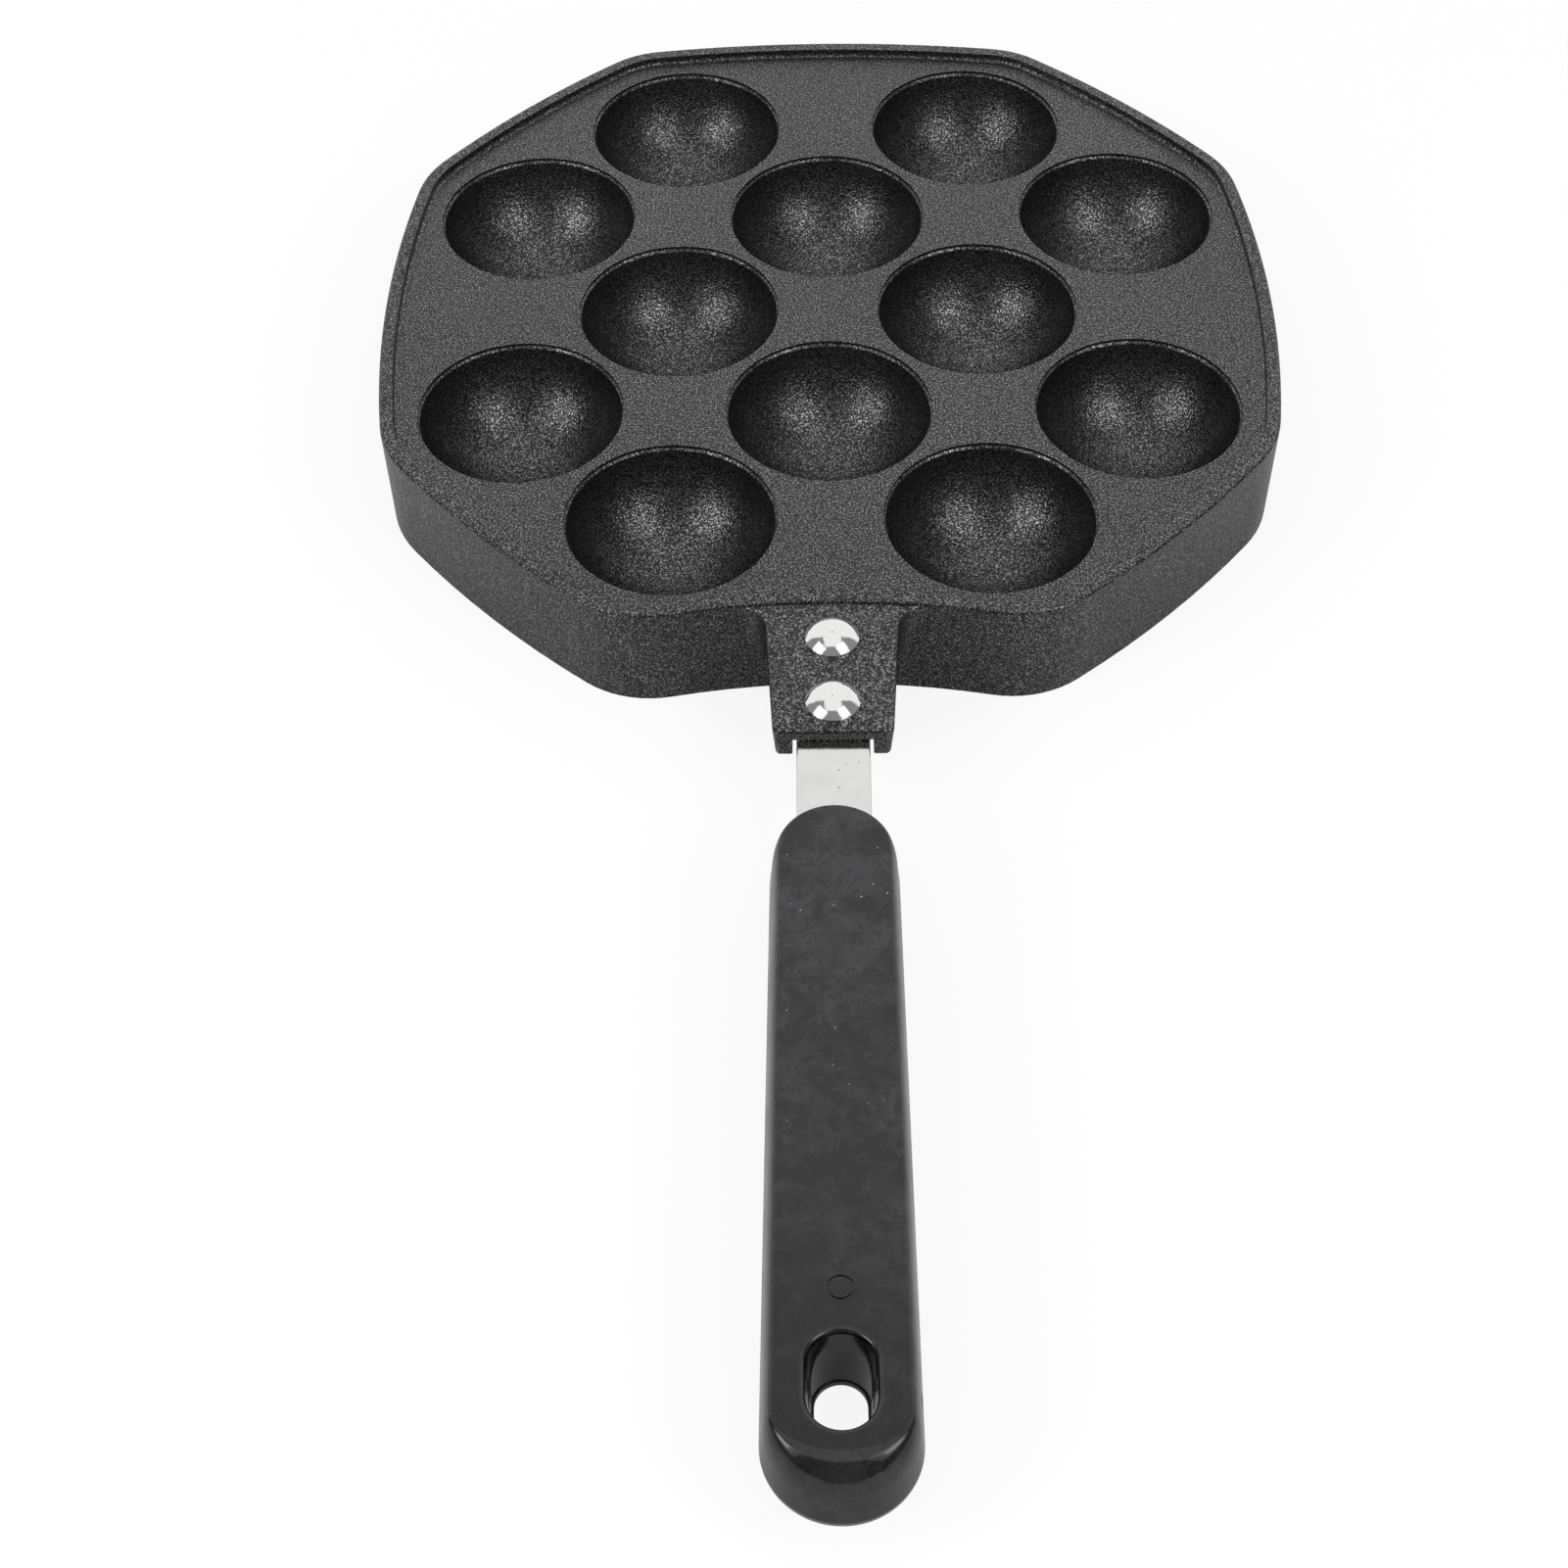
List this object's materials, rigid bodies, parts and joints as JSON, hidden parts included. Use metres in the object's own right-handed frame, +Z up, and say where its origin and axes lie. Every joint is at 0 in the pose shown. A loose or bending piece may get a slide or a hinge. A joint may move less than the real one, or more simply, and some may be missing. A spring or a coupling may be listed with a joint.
{
  "type": "takoyaki pan",
  "caption": "Stove-top takoyaki pan: an octagonal cast plate with round cups and a low rim, and a moulded grip on a steel strip that is riveted to a bracket cast in one with the pan.",
  "frame": {"origin": "middle of the overall length and width, on the surface that the pan's skirt stands on", "axes": "+Z up through the cups' mouths, +Y from the grip's free end towards the pan, X across, with the part symmetric about the plane X = 0"},
  "size_m": [0.1772, 0.3444, 0.0249],
  "materials": {
    "pan_coating": "dark grey non-stick coating, fine sand texture, satin",
    "tang_steel": "bright plated steel strip, nearly mirror",
    "grip_phenolic": "glossy black phenolic moulding",
    "rivet_metal": "polished bare rivet"
  },
  "bodies": {
    "root": {"pan_casting": "pan_coating", "handle_tang": "tang_steel", "handle_grip": "grip_phenolic", "rivet_pan_side": "rivet_metal", "rivet_grip_side": "rivet_metal"}
  },
  "joints": []
}
